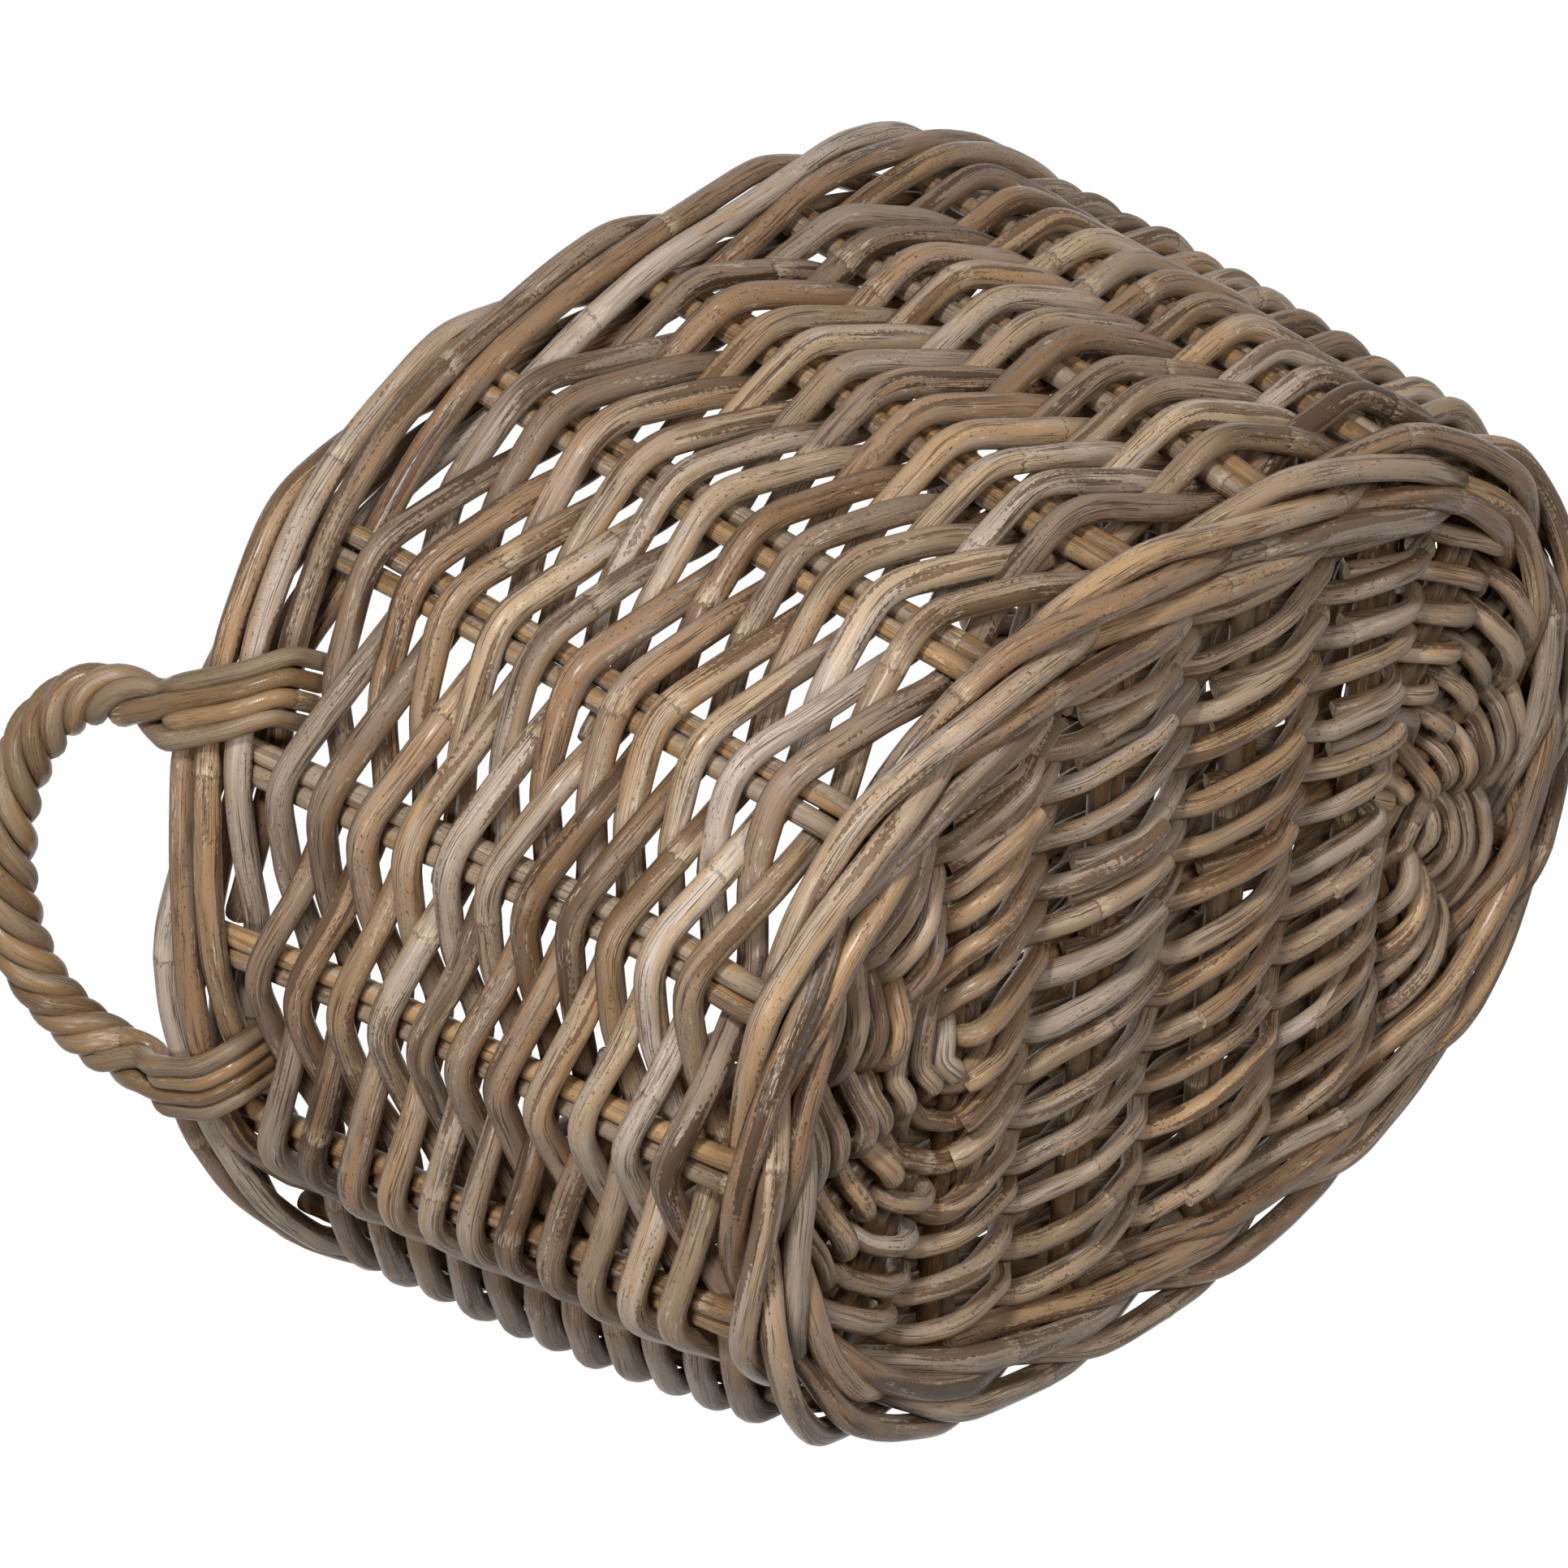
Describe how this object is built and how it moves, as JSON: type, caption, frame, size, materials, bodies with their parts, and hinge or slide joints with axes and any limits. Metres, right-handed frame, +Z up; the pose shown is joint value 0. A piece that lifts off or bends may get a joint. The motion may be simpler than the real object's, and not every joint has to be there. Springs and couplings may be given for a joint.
{
  "type": "oval basket",
  "caption": "Oval open basket of woven round rattan rods with a flared wall, a rolled rod border and a rope-twist handle at each end.",
  "frame": {"origin": "on the floor under the middle of the oval", "axes": "+Z up from the floor, +X along the long side of the oval toward one handle, +Y across the oval"},
  "size_m": [0.5696, 0.4392, 0.3505],
  "materials": {
    "stake": "matt, lighter tan rattan",
    "weaver_grey": "weathered grey-taupe rattan, satin, fine lengthwise grain",
    "weaver_brown": "weathered mid brown rattan, satin, fine lengthwise grain",
    "weaver_pale": "bleached pale grey rattan, satin, fine lengthwise grain",
    "weaver_dark": "dark brown rattan, satin, fine lengthwise grain",
    "weaver_tan": "warm tan rattan, satin, fine lengthwise grain",
    "handle": "satin, smooth tan-brown rattan"
  },
  "bodies": {
    "root": {"long_pair": "stake", "end_pair_1": "stake", "end_pair_17": "stake", "end_pair_2": "stake", "end_pair_16": "stake", "cross_pair_3": "stake", "cross_pair_4": "stake", "cross_pair_5": "stake", "cross_pair_6": "stake", "end_pair_7": "stake", "end_pair_11": "stake", "end_pair_8": "stake", "end_pair_10": "stake", "foot_strand_a": "weaver_dark", "foot_strand_b": "weaver_tan", "foot_strand_c": "weaver_grey", "base_strand_a": "weaver_brown", "wall_row_1_a": "weaver_grey", "wall_row_2_a": "weaver_pale", "wall_row_3_a": "weaver_tan", "wall_row_4_a": "weaver_brown", "wall_row_5_a": "weaver_dark", "wall_row_6_a": "weaver_grey", "wall_row_7_a": "weaver_pale", "wall_row_8_a": "weaver_tan", "wall_row_9_a": "weaver_brown", "wall_row_10_a": "weaver_dark", "wall_row_11_a": "weaver_grey", "base_strand_b": "weaver_pale", "wall_row_1_b": "weaver_dark", "wall_row_2_b": "weaver_grey", "wall_row_3_b": "weaver_pale", "wall_row_4_b": "weaver_tan", "wall_row_5_b": "weaver_brown", "wall_row_6_b": "weaver_dark", "wall_row_7_b": "weaver_grey", "wall_row_8_b": "weaver_pale", "wall_row_9_b": "weaver_tan", "wall_row_10_b": "weaver_brown", "wall_row_11_b": "weaver_dark", "border_rod_1": "weaver_brown", "border_rod_2": "weaver_pale", "border_rod_3": "weaver_dark", "border_rod_4": "weaver_tan", "border_rod_5": "weaver_grey", "border_rod_6": "weaver_brown", "handle_left_strand_1": "handle", "handle_left_strand_2": "handle", "handle_left_strand_3": "handle", "handle_left_strand_4": "handle", "handle_right_strand_1": "handle", "handle_right_strand_2": "handle", "handle_right_strand_3": "handle", "handle_right_strand_4": "handle"}
  },
  "joints": []
}
